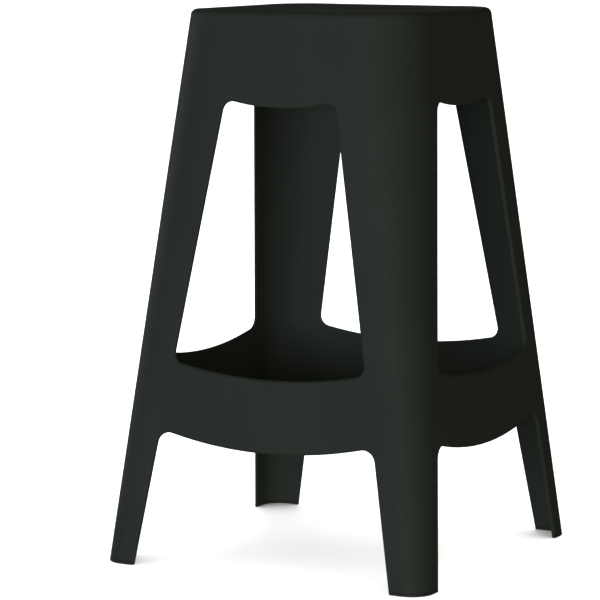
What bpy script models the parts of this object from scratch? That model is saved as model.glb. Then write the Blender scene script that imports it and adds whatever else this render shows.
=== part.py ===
"""Stacking bar stool: one moulded polypropylene shell standing on four anti-slip foot pads.

The shell is a hollow square tower that narrows towards the seat and is open at the floor. Each face
is flat between rounded corners. A window and, below the footrest band, a leg gap are cut in each of
the four faces, which leaves the seat with its apron, four L-section legs and the band that is the
footrest. +X is to the right, +Y to the back, +Z up. The origin is on the floor under the seat's
middle. Sizes are in metres.
"""

import math

import bmesh
import bpy

# The tower: its outside, in plan a square with rounded corners, at the floor and at the seat.
HEIGHT = 0.750
BASE_HALF = 0.2428
SEAT_HALF = 0.1740
BASE_CORNER_R = 0.031
SEAT_CORNER_R = 0.0865
WALL = 0.005

# The seat: its rounded edge, the dip in the middle, and the dip of the rim between its corners.
EDGE_R = 0.009
SEAT_DIP = 0.0025
RIM_DIP = 0.0016

# Stiffening ribs under the seat.
RIB_OFFSETS = (-0.076, 0.0, 0.076)
RIB_DEPTH = 0.012
RIB_ROOT = 0.0032
RIB_TIP = 0.0024

# Window and leg gap. Both have the leg's free edge as their side, one straight line from the floor
# up, and a sagging arc as apron edge, band top or band bottom. Each arc is given by its lowest
# height, its radius and the radius that rounds its corners.
LEG_EDGE_AT_FLOOR = 0.1926
LEG_EDGE_SLOPE = 0.1741
APRON_ARC = (0.6229, 0.348, 0.0142)
BAND_TOP_ARC = (0.2648, 0.662, 0.0142)
BAND_BOTTOM_ARC = (0.1668, 0.631, 0.0175)

# Foot pads: what shows below the leg, and the keyed rib that sits in a groove in the leg's end.
PAD_HEIGHT = 0.004
PAD_BEVEL = 0.0012
KEY_HEIGHT = 0.005
KEY_INSET = 0.0016
GAP = 0.0003

# How finely curves are divided.
CORNER_STEPS = 8
EDGE_STEPS = 4
ARC_STEPS = 5
FILLET_STEPS = 4

TAPER = (BASE_HALF - SEAT_HALF) / HEIGHT
WALL_LEVEL = WALL * math.hypot(1.0, TAPER)
LEG_END = PAD_HEIGHT + GAP
CUT_REACH = 0.300


def half_width(z):
    """Half the tower's outside width at height z."""
    return BASE_HALF - TAPER * z


def corner_radius(z):
    """Plan radius of the tower's outside corners at height z."""
    return BASE_CORNER_R + (SEAT_CORNER_R - BASE_CORNER_R) * z / HEIGHT


def leg_edge(z):
    """Distance from the face's middle to the leg's free edge at height z."""
    return LEG_EDGE_AT_FLOOR - LEG_EDGE_SLOPE * z


def corner_arc(half, radius, steps):
    """The rounded corner of a square of that half width, from its +X side round to its +Y side."""
    centre = half - radius
    angles = [math.radians(90.0) * i / steps for i in range(steps + 1)]
    return [(centre + radius * math.cos(a), centre + radius * math.sin(a)) for a in angles]


def turned(point, quarter):
    """A plan point turned by that many quarter turns."""
    x, y = point
    for _ in range(quarter % 4):
        x, y = -y, x
    return x, y


def square_ring(half, radius, height_at):
    """A rounded square as 3-D points; height_at gives each point's height."""
    corner = corner_arc(half, radius, CORNER_STEPS)
    plan = [turned(p, quarter) for quarter in range(4) for p in corner]
    return [(x, y, height_at(x, y)) for x, y in plan]


def rim_dip(x, y):
    """How far the seat's rim dips there: nothing at a corner, most in the middle of a side."""
    return RIM_DIP * math.cos(2.0 * math.atan2(y, x)) ** 2


def skin_rings(inset):
    """Rings of the shell's skin from the floor to the seat's middle, moved in by inset."""
    level_inset = inset * math.hypot(1.0, TAPER)
    radius = EDGE_R - inset
    centre_z = HEIGHT - EDGE_R
    centre_half = half_width(centre_z) - EDGE_R * math.hypot(1.0, TAPER)
    start = math.atan(TAPER)
    corner_centre = half_width(centre_z) - corner_radius(centre_z)

    foot = half_width(LEG_END) - level_inset
    rings = [square_ring(foot, corner_radius(LEG_END) - level_inset, lambda x, y: LEG_END)]
    for i in range(EDGE_STEPS + 1):
        turn = i / EDGE_STEPS
        angle = start + (math.radians(90.0) - start) * turn
        half = centre_half + radius * math.cos(angle)
        z = centre_z + radius * math.sin(angle)
        rings.append(square_ring(half, half - corner_centre, lambda x, y: z - turn * rim_dip(x, y)))

    top = HEIGHT - inset
    slope_half = 0.70 * centre_half
    rings.append(square_ring(slope_half, 0.40 * slope_half,
                             lambda x, y: top - 0.75 * SEAT_DIP - 0.25 * rim_dip(x, y)))
    flat_half = 0.42 * centre_half
    rings.append(square_ring(flat_half, 0.45 * flat_half, lambda x, y: top - SEAT_DIP))
    return rings


def mesh_from_rings(name, rings):
    """A closed mesh: neighbouring rings joined by quads, and the first and last ring filled."""
    bm = bmesh.new()
    loops = [[bm.verts.new(p) for p in ring] for ring in rings]
    for lower, upper in zip(loops, loops[1:]):
        for i in range(len(lower)):
            j = (i + 1) % len(lower)
            bm.faces.new((lower[i], lower[j], upper[j], upper[i]))
    bm.faces.new(loops[0][::-1])
    bm.faces.new(loops[-1])
    bmesh.ops.recalc_face_normals(bm, faces=bm.faces)
    mesh = bpy.data.meshes.new(name)
    bm.to_mesh(mesh)
    bm.free()
    return mesh


def add_object(name, mesh, parent=None):
    """Puts a mesh in the scene under that name."""
    item = bpy.data.objects.new(name, mesh)
    bpy.context.scene.collection.objects.link(item)
    item.parent = parent
    return item


def tool(name, rings):
    """A helper solid that only cuts or adds to the shell, and isn't part of the stool."""
    item = add_object(name, mesh_from_rings(name, rings))
    item.hide_render = True
    item.display_type = "WIRE"
    return item


def combine(target, other, operation):
    """Cuts or adds a helper solid by a Boolean modifier."""
    modifier = target.modifiers.new(other.name, "BOOLEAN")
    modifier.operation = operation
    modifier.solver = "EXACT"
    modifier.object = other


def fillet_centre(arc, side):
    """Centre of the round between an arc and the leg's free edge.

    side is +1 where the opening lies below the arc, and -1 where it lies above.
    """
    low, arc_radius, radius = arc
    reach = arc_radius + side * radius
    level = radius * math.hypot(1.0, LEG_EDGE_SLOPE)
    # On the free edge moved in by radius, at that reach from the arc's centre, (0, low + arc_radius).
    a = 1.0 + LEG_EDGE_SLOPE ** 2
    offset = leg_edge(low + arc_radius) - level
    b = -2.0 * LEG_EDGE_SLOPE * offset
    c = offset ** 2 - reach ** 2
    drop = (-b - math.sqrt(b * b - 4.0 * a * c)) / (2.0 * a)
    return offset - LEG_EDGE_SLOPE * drop, low + arc_radius + drop


def edge_curve(arc, side):
    """Right half of an arc and its rounded corner, from the face's middle out to the leg's edge."""
    low, arc_radius, radius = arc
    x, z = fillet_centre(arc, side)
    lean = math.atan2(x, low + arc_radius - z)
    points = []
    for i in range(ARC_STEPS):
        angle = lean * i / ARC_STEPS
        points.append((arc_radius * math.sin(angle), low + arc_radius * (1.0 - math.cos(angle))))
    # From the arc's side of the round to the free edge's side of it.
    first = math.radians(90.0) * side + lean
    last = math.atan(LEG_EDGE_SLOPE)
    for i in range(FILLET_STEPS + 1):
        angle = first + (last - first) * i / FILLET_STEPS
        points.append((x + radius * math.cos(angle), z + radius * math.sin(angle)))
    return points


def both_halves(right):
    """A closed outline from its right half, which starts and ends on the middle line or the floor."""
    left = [(-x, z) for x, z in reversed(right) if x > 1e-9]
    return right + left


def window_outline():
    """The window in a face, between footrest band and apron."""
    return both_halves(edge_curve(BAND_TOP_ARC, -1) + edge_curve(APRON_ARC, 1)[::-1])


def leg_gap_outline():
    """The gap between two legs, from below the floor up to the footrest band."""
    below = -0.010
    return both_halves([(leg_edge(below), below)] + edge_curve(BAND_BOTTOM_ARC, 1)[::-1])


def through_cutter(name, outline, along):
    """A prism of that outline, long enough to cut two opposite faces of the tower."""
    if along == "Y":
        rings = [[(x, y, z) for x, z in outline] for y in (-CUT_REACH, CUT_REACH)]
    else:
        rings = [[(x, y, z) for y, z in outline] for x in (-CUT_REACH, CUT_REACH)]
    return tool(name, rings)


def rib(name, offset, along):
    """One tapered rib under the seat, its root in the seat and its ends in the apron."""
    root_z = HEIGHT - SEAT_DIP - 0.3 * WALL
    tip_z = HEIGHT - SEAT_DIP - WALL - RIB_DEPTH
    reach = half_width(root_z) - 0.45 * WALL
    rings = []
    for z, thickness in ((tip_z, RIB_TIP), (root_z, RIB_ROOT)):
        half = thickness / 2.0
        plan = [(-half, -reach), (half, -reach), (half, reach), (-half, reach)]
        plan = [(offset + x, y) for x, y in plan]
        if along == "X":
            plan = [turned(p, 1) for p in plan]
        rings.append([(x, y, z) for x, y in plan])
    return tool(name, rings)


def leg_section(z, inset, quarter):
    """A leg's L section at height z, moved in by inset all round, in the corner that quarter names."""
    level_inset = inset * math.hypot(1.0, TAPER)
    half = half_width(z)
    radius = corner_radius(z)
    edge = leg_edge(z) + inset
    outer = corner_arc(half - level_inset, radius - level_inset, CORNER_STEPS)
    depth = WALL_LEVEL - level_inset
    inner = corner_arc(half - depth, radius - depth, CORNER_STEPS)
    plan = [(half - level_inset, edge)] + outer + [(edge, half - level_inset)]
    plan += [(edge, half - depth)] + inner[::-1] + [(half - depth, edge)]
    return [(*turned(p, quarter), z) for p in plan]


def groove_cutter(name, quarter):
    """The groove in a leg's end that takes the pad's keyed rib."""
    top = PAD_HEIGHT + KEY_HEIGHT + GAP
    inset = KEY_INSET - GAP
    return tool(name, [leg_section(z, inset, quarter) for z in (PAD_HEIGHT - GAP, top)])


def foot_pad_mesh(name, quarter):
    """An L-shaped pad with a bevelled sole and a keyed rib on top."""
    profile = [
        (0.0, PAD_BEVEL),
        (PAD_BEVEL, 0.0),
        (PAD_HEIGHT, 0.0),
        (PAD_HEIGHT, KEY_INSET),
        (PAD_HEIGHT + KEY_HEIGHT, KEY_INSET),
    ]
    return mesh_from_rings(name, [leg_section(z, inset, quarter) for z, inset in profile])


def material(name, colour, roughness):
    """A plain Principled material."""
    made = bpy.data.materials.new(name)
    made.use_nodes = True
    shader = made.node_tree.nodes["Principled BSDF"]
    shader.inputs["Base Color"].default_value = (*colour, 1.0)
    shader.inputs["Roughness"].default_value = roughness
    shader.inputs["Metallic"].default_value = 0.0
    return made


def shade(item):
    """Smooth shading with sharp corners where faces meet at more than 35 degrees."""
    item.data.shade_smooth()
    item.data.set_sharp_from_angle(angle=math.radians(35.0))


def build_shell(parent):
    """The one-piece moulding."""
    rings = skin_rings(WALL)[::-1] + skin_rings(0.0)
    shell = add_object("stool_shell", mesh_from_rings("stool_shell", rings), parent)
    shade(shell)
    for along in ("Y", "X"):
        for number, offset in enumerate(RIB_OFFSETS, start=1):
            combine(shell, rib(f"rib_{along}_{number}", offset, along), "UNION")
    for along in ("Y", "X"):
        combine(shell, through_cutter(f"window_cut_{along}", window_outline(), along), "DIFFERENCE")
        combine(shell, through_cutter(f"leg_gap_cut_{along}", leg_gap_outline(), along), "DIFFERENCE")
    for quarter in range(4):
        combine(shell, groove_cutter(f"groove_cut_{quarter}", quarter), "DIFFERENCE")
    shell.data.materials.append(material("black_polypropylene", (0.022, 0.026, 0.023), 0.45))


def build_foot_pads(parent):
    """Four pads, one per leg, named by the corner that they stand in."""
    rubber = material("pad_rubber", (0.014, 0.015, 0.014), 0.75)
    for quarter, corner in enumerate(("back_right", "back_left", "front_left", "front_right")):
        name = f"foot_pad_{corner}"
        pad = add_object(name, foot_pad_mesh(name, quarter), parent)
        shade(pad)
        pad.data.materials.append(rubber)


def main():
    for item in list(bpy.data.objects):
        bpy.data.objects.remove(item)
    stool = bpy.data.objects.new("stool", None)
    bpy.context.scene.collection.objects.link(stool)
    build_shell(stool)
    build_foot_pads(stool)


main()
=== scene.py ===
"""Looks of the stacking bar stool: fine meshes, moulded plastic and rubber, studio and camera.

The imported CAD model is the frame. The fine shell and pads are built by the same rules as the CAD
ones, with more steps, rounded edges and small details that the CAD leaves out. Sizes are in metres.
"""

import math

import bmesh
import bpy
from mathutils import Matrix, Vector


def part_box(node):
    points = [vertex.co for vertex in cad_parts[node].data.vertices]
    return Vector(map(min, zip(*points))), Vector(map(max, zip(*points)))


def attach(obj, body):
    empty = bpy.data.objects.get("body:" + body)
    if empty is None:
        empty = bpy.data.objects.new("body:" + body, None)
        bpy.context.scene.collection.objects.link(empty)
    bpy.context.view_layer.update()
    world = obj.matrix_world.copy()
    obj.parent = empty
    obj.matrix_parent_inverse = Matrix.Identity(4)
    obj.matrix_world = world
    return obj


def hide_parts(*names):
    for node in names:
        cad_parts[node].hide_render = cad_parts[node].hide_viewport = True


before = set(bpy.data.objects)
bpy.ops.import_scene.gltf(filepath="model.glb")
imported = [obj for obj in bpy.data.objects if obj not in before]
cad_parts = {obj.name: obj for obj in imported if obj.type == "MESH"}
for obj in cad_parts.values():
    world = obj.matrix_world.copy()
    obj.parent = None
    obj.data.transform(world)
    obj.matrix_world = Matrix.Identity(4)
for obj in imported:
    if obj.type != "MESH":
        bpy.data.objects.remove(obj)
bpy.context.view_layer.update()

# Read from the frame: the tower's height, where the legs end, and the top of the pads' keyed ribs.
SHELL_LOW, SHELL_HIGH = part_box("stool_shell")
HEIGHT = SHELL_HIGH.z
LEG_END = SHELL_LOW.z
KEY_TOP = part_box("foot_pad_back_right")[1].z

# The CAD model's own rules: half the tower's width at the floor and at the seat, and so its taper.
FLOOR_HALF = 0.2428
SEAT_HALF = 0.1740
SEAT_HEIGHT = 0.750
TAPER = (FLOOR_HALF - SEAT_HALF) / SEAT_HEIGHT
BASE_HALF = SHELL_HIGH.x + TAPER * LEG_END
BASE_CORNER_R = 0.031
SEAT_CORNER_R = 0.0865
# A distance square to the leaning wall, times this, is the same distance measured level.
SQUARE_TO_LEVEL = math.hypot(1.0, TAPER)
WALL = 0.005
WALL_LEVEL = WALL * SQUARE_TO_LEVEL
EDGE_R = 0.009
SEAT_DIP = 0.0025
RIM_DIP = 0.0016
LEG_EDGE_AT_FLOOR = 0.1926
LEG_EDGE_SLOPE = 0.1741

# The curved edges of a face, each an arc: its lowest height, its radius, and the radius of the round
# between it and the leg.
APRON_ARC = (0.6229, 0.348, 0.0142)
BAND_TOP_ARC = (0.2648, 0.662, 0.0142)
BAND_BOTTOM_ARC = (0.1668, 0.631, 0.0175)

# Ribs under the seat, RIB_ROOT and RIB_TIP thick. Their roots begin inside the seat's wall, and their
# ends lie inside the apron's wall, that far from the outside.
RIB_OFFSETS = (-0.076, 0.0, 0.076)
RIB_DEPTH = 0.012
RIB_ROOT = 0.0032
RIB_TIP = 0.0024
RIB_ROOT_FROM_TOP = 0.3 * WALL
RIB_END_FROM_OUTSIDE = 0.45 * WALL
RIB_ROOT_Z = HEIGHT - SEAT_DIP - RIB_ROOT_FROM_TOP
RIB_TIP_Z = HEIGHT - SEAT_DIP - WALL - RIB_DEPTH
SEAT_UNDER_Z = HEIGHT - SEAT_DIP - WALL

# Rubber pads: the clearance at the leg, and how far the keyed rib is set in from the pad's outline.
GAP = 0.0003
PAD_TOP = LEG_END - GAP
KEY_INSET = 0.0016

# What the fine meshes add: first how finely the curves are cut up.
CORNER_STEPS = 40
EDGE_STEPS = 12
ARC_STEPS = 20
FILLET_STEPS = 12
DISH_STEPS = 9
ROUND_STEPS = 6
BOSS_STEPS = 40
# The seat's dish: its rings move in by this share of the seat, to this corner radius.
DISH_SHARE = 0.58
DISH_END_R = 0.031
# Rounded edges. A leg's free edge is rounded by no more than these shares of the wall.
OUTER_CUT_R = 0.0040
INNER_CUT_R = 0.0009
OUTER_SHARE = 0.80
INNER_SHARE = 0.18
LEAST_R = 0.0003
LEG_END_R = 0.0007
SOLE_R = 0.0014
PAD_TOP_R = 0.0003
RIB_EDGE_R = 0.0005
# Bosses and marks under the seat. The gate's dimple is given as pairs: the share of the gate boss's
# radius, and the height above the boss's tip.
BOSS_R = 0.0048
BOSS_FLARE = 0.0004
GATE_R = 0.0085
DIMPLE = ((0.62, -0.001), (0.55, 0.0012), (0.20, 0.0012), (0.15, 0.0004))
MARK_R = 0.0045
MARK_DEPTH = 0.00025
MARK_START = 0.001
# Cutting and joining: how far the cutters reach, where the leg gaps' ones start, and tolerances.
CUT_REACH = 0.300
GAP_START_Z = -0.010
JOIN_WITHIN = 2e-6
ON_AXIS = 1e-9
LEVEL_WITHIN = 1e-5
# Degrees between faces: edges above the first are rounded, and above the second shaded as sharp.
ROUNDED_ABOVE = 30.0
SHARP_ABOVE = 35.0
# How much more a large face counts than a small one in smooth shading.
AREA_WEIGHT = 60

# Plastic. Scales are noise cells to the metre, and depths are in metres.
PLASTIC_COLOUR = (0.0291, 0.0386, 0.0342)
PLASTIC_DARKER = 0.93
PLASTIC_LIGHTER = 1.07
PLASTIC_ROUGHNESS = 0.6
PLASTIC_SPECULAR = 0.06
PLASTIC_IOR = 1.49
NOISE_LOW, NOISE_HIGH = 0.3, 0.7
FLOW_SCALE = 7.0
MOTTLE_SCALE = 160.0
GLOSSIEST, MATTEST = 0.56, 0.64
EDGE_FROM, EDGE_TO = 0.52, 0.62
EDGE_POLISH = -0.10
WAVE_SCALE, WAVE_DEPTH, WAVE_STRENGTH = 11.0, 0.0010, 0.35
GRAIN_SCALE, GRAIN_DEPTH, GRAIN_STRENGTH = 1300.0, 0.00004, 0.45

# Rubber, with dust up to DUST_TOP above the floor.
RUBBER_COLOUR = (0.017, 0.019, 0.017)
RUBBER_ROUGHNESS = 0.8
RUBBER_SPECULAR = 0.3
DUST_PALER = 1.9
DUST_TOP = 0.0022
DUST_SCALE = 220.0
DUST_FROM, DUST_TO = 0.42, 0.62
CLEAN_ROUGHNESS, DUSTY_ROUGHNESS = 0.72, 0.92
PIT_SCALE, PIT_DEPTH, PIT_STRENGTH = 1800.0, 0.00006, 0.5

# The studio: soft boxes on a sphere about the stool, a floor with its own light, and a surround.
BOX_DISTANCE = 5.0
AIM_HEIGHT = 0.4
COOL = (0.75, 1.0, 1.0)
WARM = (1.0, 0.81, 0.58)
FLOOR_REACH = 60.0
FLOOR_COLOUR = (0.8, 0.8, 0.8)
FLOOR_ROUGHNESS = 0.9
FLOOR_SUN = 6.0
FLOOR_SUN_SPREAD = 150.0
FILL_ABOVE = 0.070
FILL_BELOW = 0.200
HORIZON_BLEND = 0.05
BACKDROP = 1.0


def half_width(z):
    """Half the tower's outside width at height z."""
    return BASE_HALF - TAPER * z


def corner_radius(z):
    """Plan radius of the tower's outside corners at height z."""
    return BASE_CORNER_R + (SEAT_CORNER_R - BASE_CORNER_R) * z / HEIGHT


def leg_edge(z):
    """Distance from the face's middle to the leg's free edge at height z."""
    return LEG_EDGE_AT_FLOOR - LEG_EDGE_SLOPE * z


def smooth(t):
    """0 to 1 with a flat start and end."""
    return t * t * (3.0 - 2.0 * t)


def arc(x, y, radius, first, last, steps):
    """Points on a circle about (x, y) between two angles in degrees."""
    angles = [math.radians(first + (last - first) * i / steps) for i in range(steps + 1)]
    return [(x + radius * math.cos(a), y + radius * math.sin(a)) for a in angles]


def turned(point, quarter):
    """A plan point turned by that many quarter turns."""
    x, y = point
    for _ in range(quarter % 4):
        x, y = -y, x
    return x, y


def square_ring(half, radius, height_at):
    """A rounded square as 3-D points; height_at gives each point's height."""
    corner = arc(half - radius, half - radius, radius, 0.0, 90.0, CORNER_STEPS)
    plan = [turned(p, quarter) for quarter in range(4) for p in corner]
    return [(x, y, height_at(x, y)) for x, y in plan]


def rim_dip(x, y):
    """How far the seat's rim dips there: nothing at a corner, most in the middle of a side."""
    return RIM_DIP * math.cos(2.0 * math.atan2(y, x)) ** 2


def skin_rings(inset):
    """Rings of the shell's skin from the leg ends to the seat's middle, moved in by inset."""
    level_inset = inset * SQUARE_TO_LEVEL
    radius = EDGE_R - inset
    centre_z = HEIGHT - EDGE_R
    centre_half = half_width(centre_z) - EDGE_R * SQUARE_TO_LEVEL
    start = math.atan(TAPER)
    corner_centre = half_width(centre_z) - corner_radius(centre_z)

    foot = (half_width(LEG_END) - level_inset, corner_radius(LEG_END) - level_inset)
    rings = [square_ring(*foot, lambda x, y: LEG_END)]
    for i in range(EDGE_STEPS + 1):
        turn = i / EDGE_STEPS
        angle = start + (math.radians(90.0) - start) * turn
        half = centre_half + radius * math.cos(angle)
        z = centre_z + radius * math.sin(angle)
        rings.append(square_ring(half, half - corner_centre, lambda x, y: z - turn * rim_dip(x, y)))

    top = HEIGHT - inset
    edge_r = centre_half - corner_centre
    for i in range(1, DISH_STEPS + 1):
        along = i / DISH_STEPS
        sink = smooth(along)
        half = centre_half * (1.0 - DISH_SHARE * along)
        corner = edge_r + (DISH_END_R - edge_r) * along
        dished = top - SEAT_DIP * sink
        rings.append(square_ring(half, corner, lambda x, y: dished - (1.0 - sink) * rim_dip(x, y)))
    return rings


def mesh_from_rings(name, rings):
    """A closed mesh: neighbouring rings joined by quads, and the first and last ring filled."""
    bm = bmesh.new()
    loops = [[bm.verts.new(p) for p in ring] for ring in rings]
    for lower, upper in zip(loops, loops[1:]):
        for i in range(len(lower)):
            j = (i + 1) % len(lower)
            bm.faces.new((lower[i], lower[j], upper[j], upper[i]))
    bm.faces.new(loops[0][::-1])
    bm.faces.new(loops[-1])
    bmesh.ops.recalc_face_normals(bm, faces=bm.faces)
    mesh = bpy.data.meshes.new(name)
    bm.to_mesh(mesh)
    bm.free()
    return mesh


def add_object(name, mesh):
    """Puts a mesh in the scene under that name."""
    item = bpy.data.objects.new(name, mesh)
    bpy.context.scene.collection.objects.link(item)
    return item


def applied(item):
    """Applies the object's modifiers, and joins the vertices that they leave in one place."""
    bpy.context.view_layer.update()
    graph = bpy.context.evaluated_depsgraph_get()
    mesh = bpy.data.meshes.new_from_object(item.evaluated_get(graph))
    item.modifiers.clear()
    bm = bmesh.new()
    bm.from_mesh(mesh)
    bmesh.ops.remove_doubles(bm, verts=bm.verts, dist=JOIN_WITHIN)
    bmesh.ops.dissolve_degenerate(bm, edges=bm.edges, dist=JOIN_WITHIN)
    bm.to_mesh(mesh)
    bm.free()
    item.data = mesh


def combine(target, meshes, operation):
    """Cuts the meshes from the target, or adds them to it, one after the other."""
    for mesh in meshes:
        tool = add_object(mesh.name, mesh)
        modifier = target.modifiers.new(tool.name, "BOOLEAN")
        modifier.operation = operation
        modifier.solver = "EXACT"
        modifier.object = tool
        applied(target)
        bpy.data.objects.remove(tool)


def fillet_centre(sag, side):
    """Centre of the round between an arc and the leg's free edge.

    side is +1 where the opening lies below the arc, and -1 where it lies above.
    """
    low, arc_radius, radius = sag
    reach = arc_radius + side * radius
    level = radius * math.hypot(1.0, LEG_EDGE_SLOPE)
    # On the free edge moved in by radius, at that reach from the arc's centre, (0, low + arc_radius).
    a = 1.0 + LEG_EDGE_SLOPE ** 2
    offset = leg_edge(low + arc_radius) - level
    b = -2.0 * LEG_EDGE_SLOPE * offset
    c = offset ** 2 - reach ** 2
    drop = (-b - math.sqrt(b * b - 4.0 * a * c)) / (2.0 * a)
    return offset - LEG_EDGE_SLOPE * drop, low + arc_radius + drop


def edge_curve(sag, side):
    """Right half of an arc and its rounded corner, from the face's middle out to the leg's edge."""
    low, arc_radius, radius = sag
    x, z = fillet_centre(sag, side)
    lean = math.degrees(math.atan2(x, low + arc_radius - z))
    sagging = arc(0.0, low + arc_radius, arc_radius, -90.0, lean - 90.0, ARC_STEPS)[:-1]
    # The round runs from the arc's side to the free edge's side.
    first = 90.0 * side + lean
    last = math.degrees(math.atan(LEG_EDGE_SLOPE))
    return sagging + arc(x, z, radius, first, last, FILLET_STEPS)


def both_halves(right):
    """A closed outline from its right half; points on the middle line aren't repeated."""
    left = [(-x, z) for x, z in reversed(right) if x > ON_AXIS]
    return right + left


def through_cutter(name, outline, along):
    """A prism of that outline, long enough to cut two opposite faces of the tower."""
    if along == "Y":
        rings = [[(x, y, z) for x, z in outline] for y in (-CUT_REACH, CUT_REACH)]
    else:
        rings = [[(x, y, z) for y, z in outline] for x in (-CUT_REACH, CUT_REACH)]
    return mesh_from_rings(name, rings)


def face_cutters():
    """Both windows' and both leg gaps' prisms."""
    window = both_halves(edge_curve(BAND_TOP_ARC, -1) + edge_curve(APRON_ARC, 1)[::-1])
    foot = (leg_edge(GAP_START_Z), GAP_START_Z)
    gap = both_halves([foot] + edge_curve(BAND_BOTTOM_ARC, 1)[::-1])
    shapes = (("window", window), ("gap", gap))
    return [through_cutter(f"{name}_{along}", shape, along) for name, shape in shapes for along in "YX"]


def cut_edge_radius(edge):
    """How much an edge is rounded: well on the outside, a little on the inside and at the leg ends."""
    if all(v.co.z < LEG_END + LEVEL_WITHIN for v in edge.verts):
        return LEG_END_R
    middle = (edge.verts[0].co + edge.verts[1].co) / 2.0
    outside = max(abs(middle.x), abs(middle.y)) > half_width(middle.z) - 0.5 * WALL
    return OUTER_CUT_R if outside else INNER_CUT_R


def round_cut_edges(shell):
    """Rounds the edges of windows, legs and band, and the leg ends."""
    bm = bmesh.new()
    bm.from_mesh(shell.data)
    weight = bm.edges.layers.float.new("bevel_weight_edge")
    sharp = math.radians(ROUNDED_ABOVE)
    for edge in bm.edges:
        if len(edge.link_faces) == 2 and edge.calc_face_angle() > sharp:
            edge[weight] = cut_edge_radius(edge) / OUTER_CUT_R
    bm.to_mesh(shell.data)
    bm.free()
    bevel = shell.modifiers.new("round", "BEVEL")
    bevel.limit_method = "WEIGHT"
    bevel.width = OUTER_CUT_R
    bevel.segments = ROUND_STEPS
    bevel.use_clamp_overlap = False
    applied(shell)


def rib_mesh(name, offset, along):
    """One tapered rib under the seat, its root in the seat and its ends in the apron."""
    reach = half_width(RIB_ROOT_Z) - RIB_END_FROM_OUTSIDE
    profile = []
    for degrees in (90.0, 60.0, 30.0, 0.0):
        angle = math.radians(degrees)
        z = RIB_TIP_Z + RIB_EDGE_R * (1.0 - math.sin(angle))
        profile.append((z, RIB_TIP / 2.0 - RIB_EDGE_R * (1.0 - math.cos(angle))))
    rings = []
    for z, half in profile + [(RIB_ROOT_Z, RIB_ROOT / 2.0)]:
        plan = [(-half, -reach), (half, -reach), (half, reach), (-half, reach)]
        plan = [(offset + x, y) for x, y in plan]
        if along == "X":
            plan = [turned(p, 1) for p in plan]
        rings.append([(x, y, z) for x, y in plan])
    return mesh_from_rings(name, rings)


def turned_mesh(name, x, y, profile):
    """A solid of revolution about an upright axis at (x, y); the profile is (radius, height) pairs."""
    rings = []
    for radius, z in profile:
        circle = arc(x, y, radius, 0.0, 360.0, BOSS_STEPS)[:-1]
        rings.append([(*p, z) for p in circle])
    return mesh_from_rings(name, rings)


def underside_meshes():
    """Ribs, a small boss where two ribs cross, and the gate's boss in the middle."""
    meshes = []
    for along in "YX":
        for offset in RIB_OFFSETS:
            meshes.append(rib_mesh(f"rib_{along}_{offset:+.3f}", offset, along))
    for x in RIB_OFFSETS:
        for y in RIB_OFFSETS:
            radius = GATE_R if x == y == 0.0 else BOSS_R
            profile = [
                (radius - RIB_EDGE_R, RIB_TIP_Z),
                (radius, RIB_TIP_Z + RIB_EDGE_R),
                (radius + BOSS_FLARE, RIB_ROOT_Z),
            ]
            meshes.append(turned_mesh(f"boss_{x:+.3f}_{y:+.3f}", x, y, profile))
    return meshes


def underside_marks():
    """The gate's dimple first, then the round marks of ejector pins between the ribs."""
    dimple = [(share * GATE_R, RIB_TIP_Z + rise) for share, rise in DIMPLE]
    meshes = [turned_mesh("gate", 0.0, 0.0, dimple)]
    middle = RIB_OFFSETS[-1] / 2.0
    profile = [(MARK_R, SEAT_UNDER_Z - MARK_START), (MARK_R, SEAT_UNDER_Z + MARK_DEPTH)]
    for x in (-middle, middle):
        for y in (-middle, middle):
            meshes.append(turned_mesh(f"mark_{x:+.3f}_{y:+.3f}", x, y, profile))
    return meshes


def leg_section(z, inset, quarter):
    """A leg's L section at height z, moved in by inset all round, in the corner that quarter names."""
    level_inset = inset * SQUARE_TO_LEVEL
    outer = half_width(z) - level_inset
    inner = half_width(z) - WALL_LEVEL + level_inset
    outer_r = corner_radius(z) - level_inset
    inner_r = corner_radius(z) - WALL_LEVEL + level_inset
    edge = leg_edge(z) + inset
    thick = outer - inner
    out_r = min(OUTER_CUT_R - inset, OUTER_SHARE * thick)
    in_r = min(max(INNER_CUT_R - inset, LEAST_R), INNER_SHARE * thick)
    plan = arc(outer - outer_r, outer - outer_r, outer_r, 0.0, 90.0, CORNER_STEPS)
    plan += arc(edge + out_r, outer - out_r, out_r, 90.0, 180.0, ROUND_STEPS)
    plan += arc(edge + in_r, inner + in_r, in_r, 180.0, 270.0, ROUND_STEPS)
    plan += arc(inner - inner_r, inner - inner_r, inner_r, 90.0, 0.0, CORNER_STEPS)
    plan += arc(inner + in_r, edge + in_r, in_r, 180.0, 270.0, ROUND_STEPS)
    plan += arc(outer - out_r, edge + out_r, out_r, 270.0, 360.0, ROUND_STEPS)
    return [(*turned(p, quarter), z) for p in plan]


def groove_meshes():
    """The grooves in the leg ends that take the pads' keyed ribs."""
    inset = KEY_INSET - GAP
    heights = (LEG_END - 2.0 * GAP, KEY_TOP + GAP)
    meshes = []
    for quarter in range(4):
        rings = [leg_section(z, inset, quarter) for z in heights]
        meshes.append(mesh_from_rings(f"groove_{quarter}", rings))
    return meshes


def smooth_shaded(item):
    """Smooth shading by face area, except across sharp edges."""
    item.data.shade_smooth()
    item.data.set_sharp_from_angle(angle=math.radians(SHARP_ABOVE))
    weighted = item.modifiers.new("weighted", "WEIGHTED_NORMAL")
    weighted.mode = "FACE_AREA"
    weighted.keep_sharp = True
    weighted.weight = AREA_WEIGHT
    return item


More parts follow.
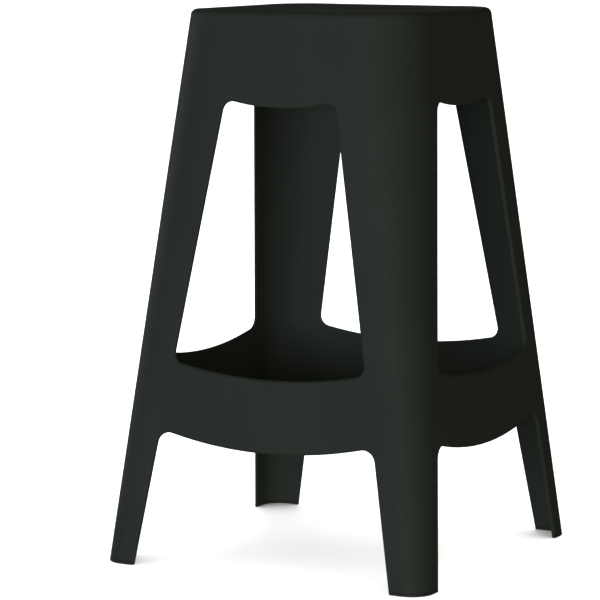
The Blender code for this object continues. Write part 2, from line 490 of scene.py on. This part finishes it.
def build_shell():
    """The one-piece moulding: the hollow skin, its openings, and the ribs and marks under the seat."""
    rings = skin_rings(WALL)[::-1] + skin_rings(0.0)
    shell = add_object("moulded_shell", mesh_from_rings("moulded_shell", rings))
    combine(shell, face_cutters(), "DIFFERENCE")
    round_cut_edges(shell)
    underside = underside_meshes()
    dimple, *marks = underside_marks()
    grid = add_object("underside", underside[0])
    combine(grid, underside[1:], "UNION")
    combine(grid, [dimple], "DIFFERENCE")
    combine(shell, marks + groove_meshes(), "DIFFERENCE")
    grid_mesh = grid.data
    bpy.data.objects.remove(grid)
    combine(shell, [grid_mesh], "UNION")
    return smooth_shaded(shell)


def build_pad(name, quarter):
    """An L-shaped rubber pad with a rounded sole and the keyed rib on top."""
    sole = arc(SOLE_R, SOLE_R, SOLE_R, 270.0, 180.0, ROUND_STEPS)
    profile = [(z, inset) for inset, z in sole]
    profile += [(PAD_TOP - PAD_TOP_R, 0.0), (PAD_TOP, PAD_TOP_R)]
    profile += [(PAD_TOP, KEY_INSET), (KEY_TOP, KEY_INSET)]
    rings = [leg_section(z, inset, quarter) for z, inset in profile]
    pad = add_object(name, mesh_from_rings(name, rings))
    return smooth_shaded(pad)


def node(tree, kind, **inputs):
    """A shader node with its input values set by name, spaces written as _."""
    made = tree.nodes.new(kind)
    for name, value in inputs.items():
        made.inputs[name.replace("_", " ")].default_value = value
    return made


def painted(name, colour, roughness):
    """A Principled material with its tree and shader node."""
    made = bpy.data.materials.new(name)
    made.use_nodes = True
    tree = made.node_tree
    shader = tree.nodes["Principled BSDF"]
    shader.inputs["Base Color"].default_value = (*colour, 1.0)
    shader.inputs["Roughness"].default_value = roughness
    return made, tree, shader


def noise(tree, place, scale, detail):
    """A noise texture over the object's own coordinates; returns its 0 to 1 value."""
    made = node(tree, "ShaderNodeTexNoise", Scale=scale, Detail=detail)
    tree.links.new(place.outputs["Object"], made.inputs["Vector"])
    return made.outputs["Fac"]


def remapped(tree, value, low, high, out_low, out_high):
    """The value's range low to high stretched to another range."""
    ranges = {"From_Min": low, "From_Max": high, "To_Min": out_low, "To_Max": out_high}
    made = node(tree, "ShaderNodeMapRange", **ranges)
    tree.links.new(value, made.inputs["Value"])
    return made.outputs["Result"]


def mixed_colour(tree, share, first, second):
    """A colour between two, by a 0 to 1 share."""
    made = tree.nodes.new("ShaderNodeValToRGB")
    made.color_ramp.elements[0].color = (*first, 1.0)
    made.color_ramp.elements[1].color = (*second, 1.0)
    tree.links.new(share, made.inputs["Fac"])
    return made.outputs["Color"]


def bumped(tree, height, distance, strength, under=None):
    """A bump node, over an earlier one if that is given."""
    made = node(tree, "ShaderNodeBump", Distance=distance, Strength=strength)
    tree.links.new(height, made.inputs["Height"])
    if under:
        tree.links.new(under.outputs["Normal"], made.inputs["Normal"])
    return made


def build_plastic():
    """Black moulded polypropylene: satin, fine grained, faintly uneven, its edges a little polished."""
    plastic, tree, shader = painted("moulded_polypropylene", PLASTIC_COLOUR, PLASTIC_ROUGHNESS)
    shader.inputs["IOR"].default_value = PLASTIC_IOR
    shader.inputs["Specular IOR Level"].default_value = PLASTIC_SPECULAR
    place = tree.nodes.new("ShaderNodeTexCoord")

    # The melt's flow: broad, faint changes of colour.
    flow = noise(tree, place, FLOW_SCALE, detail=3.0)
    darker = tuple(PLASTIC_DARKER * c for c in PLASTIC_COLOUR)
    lighter = tuple(PLASTIC_LIGHTER * c for c in PLASTIC_COLOUR)
    share = remapped(tree, flow, NOISE_LOW, NOISE_HIGH, 0.0, 1.0)
    tree.links.new(mixed_colour(tree, share, darker, lighter), shader.inputs["Base Color"])

    # Gloss: fine mottling, and edges that hands and feet polish.
    mottle = noise(tree, place, MOTTLE_SCALE, detail=2.0)
    shape = tree.nodes.new("ShaderNodeNewGeometry")
    polish = remapped(tree, shape.outputs["Pointiness"], EDGE_FROM, EDGE_TO, 0.0, EDGE_POLISH)
    gloss = node(tree, "ShaderNodeMath")
    mottled = remapped(tree, mottle, NOISE_LOW, NOISE_HIGH, GLOSSIEST, MATTEST)
    tree.links.new(mottled, gloss.inputs[0])
    tree.links.new(polish, gloss.inputs[1])
    tree.links.new(gloss.outputs["Value"], shader.inputs["Roughness"])

    # Relief: the mould's spark-eroded grain, over the wall's slight waviness.
    broad = noise(tree, place, WAVE_SCALE, detail=1.0)
    waves = bumped(tree, broad, WAVE_DEPTH, WAVE_STRENGTH)
    fine = noise(tree, place, GRAIN_SCALE, detail=2.0)
    grain = bumped(tree, fine, GRAIN_DEPTH, GRAIN_STRENGTH, under=waves)
    tree.links.new(grain.outputs["Normal"], shader.inputs["Normal"])
    return plastic


def build_rubber():
    """Black rubber: matt, slightly pitted, with pale dust low down where it meets the floor."""
    rubber, tree, shader = painted("pad_rubber", RUBBER_COLOUR, RUBBER_ROUGHNESS)
    shader.inputs["Specular IOR Level"].default_value = RUBBER_SPECULAR
    place = tree.nodes.new("ShaderNodeTexCoord")

    height = tree.nodes.new("ShaderNodeSeparateXYZ")
    tree.links.new(place.outputs["Object"], height.inputs["Vector"])
    low = remapped(tree, height.outputs["Z"], 0.0, DUST_TOP, 1.0, 0.0)
    speckle = noise(tree, place, DUST_SCALE, detail=4.0)
    patches = remapped(tree, speckle, DUST_FROM, DUST_TO, 0.0, 1.0)
    dust = node(tree, "ShaderNodeMath")
    dust.operation = "MULTIPLY"
    tree.links.new(low, dust.inputs[0])
    tree.links.new(patches, dust.inputs[1])
    dusty = tuple(DUST_PALER * c for c in RUBBER_COLOUR)
    colour = mixed_colour(tree, dust.outputs["Value"], RUBBER_COLOUR, dusty)
    tree.links.new(colour, shader.inputs["Base Color"])
    gloss = remapped(tree, dust.outputs["Value"], 0.0, 1.0, CLEAN_ROUGHNESS, DUSTY_ROUGHNESS)
    tree.links.new(gloss, shader.inputs["Roughness"])

    pitted = noise(tree, place, PIT_SCALE, detail=3.0)
    pits = bumped(tree, pitted, PIT_DEPTH, PIT_STRENGTH)
    tree.links.new(pits.outputs["Normal"], shader.inputs["Normal"])
    return rubber


def soft_box(name, azimuth, elevation, width, height, power, colour=(1.0, 1.0, 1.0)):
    """A soft box aimed at the stool's middle; azimuth 0 is in front, 90 to the right."""
    light = bpy.data.lights.new(name, "AREA")
    light.shape = "RECTANGLE"
    light.size = width
    light.size_y = height
    light.energy = power
    light.color = colour
    item = bpy.data.objects.new(name, light)
    aim = Matrix.Translation((0.0, 0.0, AIM_HEIGHT)) @ Matrix.Rotation(math.radians(azimuth), 4, "Z")
    lift = Matrix.Rotation(math.radians(90.0 - elevation), 4, "X")
    item.matrix_world = aim @ lift @ Matrix.Translation((0.0, 0.0, BOX_DISTANCE))
    item.visible_camera = False
    bpy.context.scene.collection.objects.link(item)
    return item


def build_floor():
    """A pale floor, with an overhead light of its own that keeps it evenly pale.

    The stool isn't lit by either of them: what a floor throws up at it is in the world's light.
    """
    bm = bmesh.new()
    bmesh.ops.create_grid(bm, x_segments=1, y_segments=1, size=FLOOR_REACH)
    mesh = bpy.data.meshes.new("floor")
    bm.to_mesh(mesh)
    bm.free()
    floor = add_object("floor", mesh)
    floor.data.materials.append(painted("floor_paint", FLOOR_COLOUR, FLOOR_ROUGHNESS)[0])
    floor.visible_diffuse = False
    floor.visible_glossy = False
    floor.visible_shadow = False
    only_floor = bpy.data.collections.new("only_floor")
    only_floor.objects.link(floor)
    sun = bpy.data.lights.new("overhead", "SUN")
    sun.angle = math.radians(FLOOR_SUN_SPREAD)
    sun.energy = FLOOR_SUN
    overhead = bpy.data.objects.new("overhead", sun)
    overhead.light_linking.receiver_collection = only_floor
    bpy.context.scene.collection.objects.link(overhead)


def build_world():
    """A pale surround for the camera, and else a faint warm light, stronger from the floor's side."""
    world = bpy.data.worlds.new("studio")
    bpy.context.scene.world = world
    world.use_nodes = True
    tree = world.node_tree
    faint = tree.nodes["Background"]
    faint.inputs["Color"].default_value = (*WARM, 1.0)
    direction = tree.nodes.new("ShaderNodeTexCoord")
    part = tree.nodes.new("ShaderNodeSeparateXYZ")
    tree.links.new(direction.outputs["Generated"], part.inputs["Vector"])
    level = remapped(tree, part.outputs["Z"], -HORIZON_BLEND, HORIZON_BLEND, FILL_BELOW, FILL_ABOVE)
    tree.links.new(level, faint.inputs["Strength"])
    pale = node(tree, "ShaderNodeBackground", Color=(1.0, 1.0, 1.0, 1.0), Strength=BACKDROP)
    path = node(tree, "ShaderNodeLightPath")
    mix = node(tree, "ShaderNodeMixShader")
    tree.links.new(path.outputs["Is Camera Ray"], mix.inputs["Fac"])
    tree.links.new(faint.outputs["Background"], mix.inputs[1])
    tree.links.new(pale.outputs["Background"], mix.inputs[2])
    tree.links.new(mix.outputs["Shader"], tree.nodes["World Output"].inputs["Surface"])


def build_studio():
    """The floor, the surround and six soft boxes: four low ones, one behind and one overhead."""
    bpy.context.scene.view_settings.view_transform = "Standard"
    build_floor()
    build_world()
    soft_box("front", azimuth=15.0, elevation=2.5, width=2.2, height=1.1, power=113.0)
    soft_box("right", azimuth=65.0, elevation=0.0, width=2.0, height=1.2, power=20.0, colour=WARM)
    soft_box("left", azimuth=-27.0, elevation=8.0, width=2.0, height=1.0, power=27.0)
    soft_box("far_left", azimuth=-100.0, elevation=5.0, width=2.0, height=2.0, power=27.0)
    back = soft_box("back", azimuth=207.0, elevation=32.0, width=2.5, height=2.0, power=85.0)
    # Its reflection in the seat's top, seen at a low angle from in front, would glare.
    back.visible_glossy = False
    soft_box("top", azimuth=207.0, elevation=80.0, width=2.0, height=2.0, power=6.0, colour=COOL)


def build_camera():
    """The camera, at the photograph's viewing angle, turned a little past the stool's middle."""
    azimuth = math.radians(26.99)
    distance = 4.211
    height = 0.891
    past_middle = math.radians(0.781)
    down = math.radians(7.358)
    tilt = math.radians(0.097)
    camera = bpy.data.objects.new("camera", bpy.data.cameras.new("camera"))
    camera.data.lens = 184.2
    camera.data.sensor_width = 36.0
    camera.data.clip_end = 200.0
    place = Matrix.Translation((distance * math.sin(azimuth), -distance * math.cos(azimuth), height))
    heading = Matrix.Rotation(azimuth + past_middle, 4, "Z")
    pitch = Matrix.Rotation(math.radians(90.0) - down, 4, "X")
    roll = Matrix.Rotation(tilt, 4, "Z")
    camera.matrix_world = place @ (heading @ pitch) @ roll
    bpy.context.scene.collection.objects.link(camera)
    bpy.context.scene.camera = camera


def dress(piece, node_name, material):
    """Puts a fine piece on the root body in place of a CAD node and material."""
    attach(piece, "root")
    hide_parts(node_name)
    piece.data.materials.clear()
    piece.data.materials.append(material)


dress(build_shell(), "stool_shell", build_plastic())
rubber = build_rubber()
for quarter, corner in enumerate(("back_right", "back_left", "front_left", "front_right")):
    dress(build_pad(f"rubber_pad_{corner}", quarter), f"foot_pad_{corner}", rubber)
build_studio()
build_camera()
